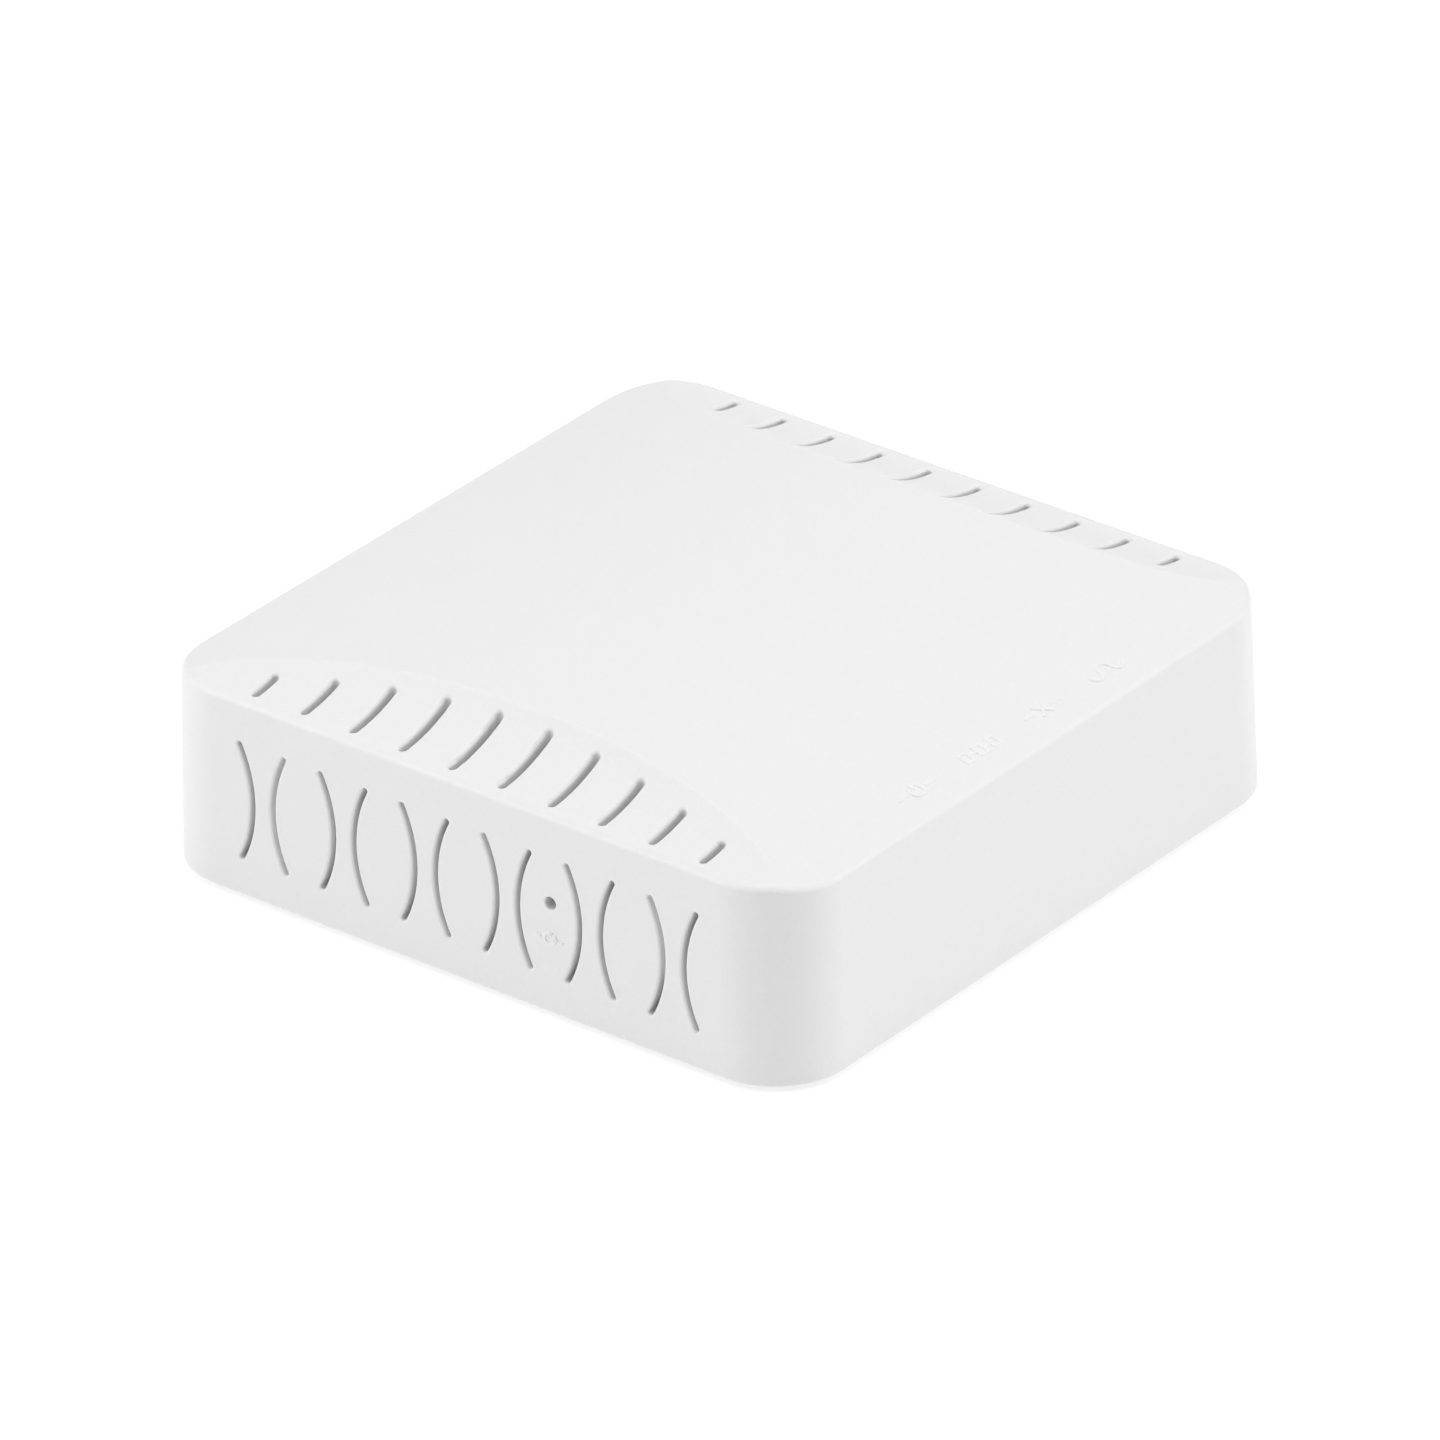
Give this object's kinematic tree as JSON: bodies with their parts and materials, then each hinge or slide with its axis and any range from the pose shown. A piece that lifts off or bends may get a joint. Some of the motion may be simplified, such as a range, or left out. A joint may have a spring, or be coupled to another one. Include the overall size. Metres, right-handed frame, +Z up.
{
  "type": "wireless router",
  "caption": "Small square white network box with an arched roof, scooped and slotted at both ends, bowed side vents, a pin-hole reset button, and fibre, network and power sockets at the back.",
  "frame": {"origin": "centre of the footprint, on the plane the rubber feet stand on", "axes": "+X towards the slotted end opposite the reset hole, +Y towards the sockets at the back, +Z up"},
  "size_m": [0.0824, 0.0824, 0.0263],
  "materials": {
    "white_shell": "fine satin grain",
    "white_floor": "fine satin grain",
    "screw_steel": "zinc plated",
    "foot_rubber": "dull",
    "blank_label": "printed foil, blank",
    "board_green": "solder mask",
    "chip_black": "moulded epoxy",
    "pad_blue": "soft silicone",
    "sink_aluminium": "extruded",
    "can_steel": "drawn can",
    "cap_sleeve": "shrink sleeve",
    "ferrite_grey": "sintered ferrite",
    "resistor_black": "coated chip",
    "ceramic_tan": "fired ceramic chip",
    "lamp_cream": "phosphor under resin",
    "clear_guide": "clear moulded acrylic",
    "switch_black": "moulded nylon",
    "switch_steel": "tinned sheet",
    "fibre_blue": "moulded",
    "zirconia": "ground",
    "module_steel": "machined",
    "diode_gold": "gold plated",
    "socket_black": "moulded",
    "socket_steel": "tinned sheet",
    "contact_gold": "gold plated",
    "lamp_green": "tinted resin",
    "nickel": "nickel plated"
  },
  "bodies": {
    "case": {"top_cover": "white_shell", "bottom_cover": "white_floor", "case_screws": "screw_steel", "rubber_feet": "foot_rubber", "rating_label": "blank_label", "main_board": "board_green", "board_screws": "screw_steel", "main_chip": "chip_black", "thermal_pad": "pad_blue", "heat_sink": "sink_aluminium", "memory_chip": "chip_black", "flash_chip": "chip_black", "small_chips": "chip_black", "lan_transformer": "chip_black", "crystal_can": "can_steel", "capacitor_cans": "cap_sleeve", "power_inductor": "ferrite_grey", "chip_resistors": "resistor_black", "chip_ceramics": "ceramic_tan", "indicator_lamps": "lamp_cream", "light_guide": "clear_guide", "reset_switch_body": "switch_black", "reset_switch_frame": "switch_steel", "reset_dome": "switch_steel", "fibre_adapter": "fibre_blue", "fibre_sleeve": "zirconia", "optical_module": "module_steel", "optical_mount": "switch_black", "laser_can": "diode_gold", "detector_can": "diode_gold", "lan_housing": "socket_black", "lan_lamps": "lamp_green", "lan_shield": "socket_steel", "lan_contacts": "contact_gold", "jack_housing": "socket_black", "jack_pin": "nickel", "jack_contact": "nickel"},
    "reset_button": {"reset_plunger": "switch_black"}
  },
  "joints": [
    {"name": "reset_press", "type": "slide", "parent": "case", "child": "reset_button", "axis": [1, 0, 0], "range_m": [0, 0.00025], "stiffness_N_per_m": 4000}
  ]
}
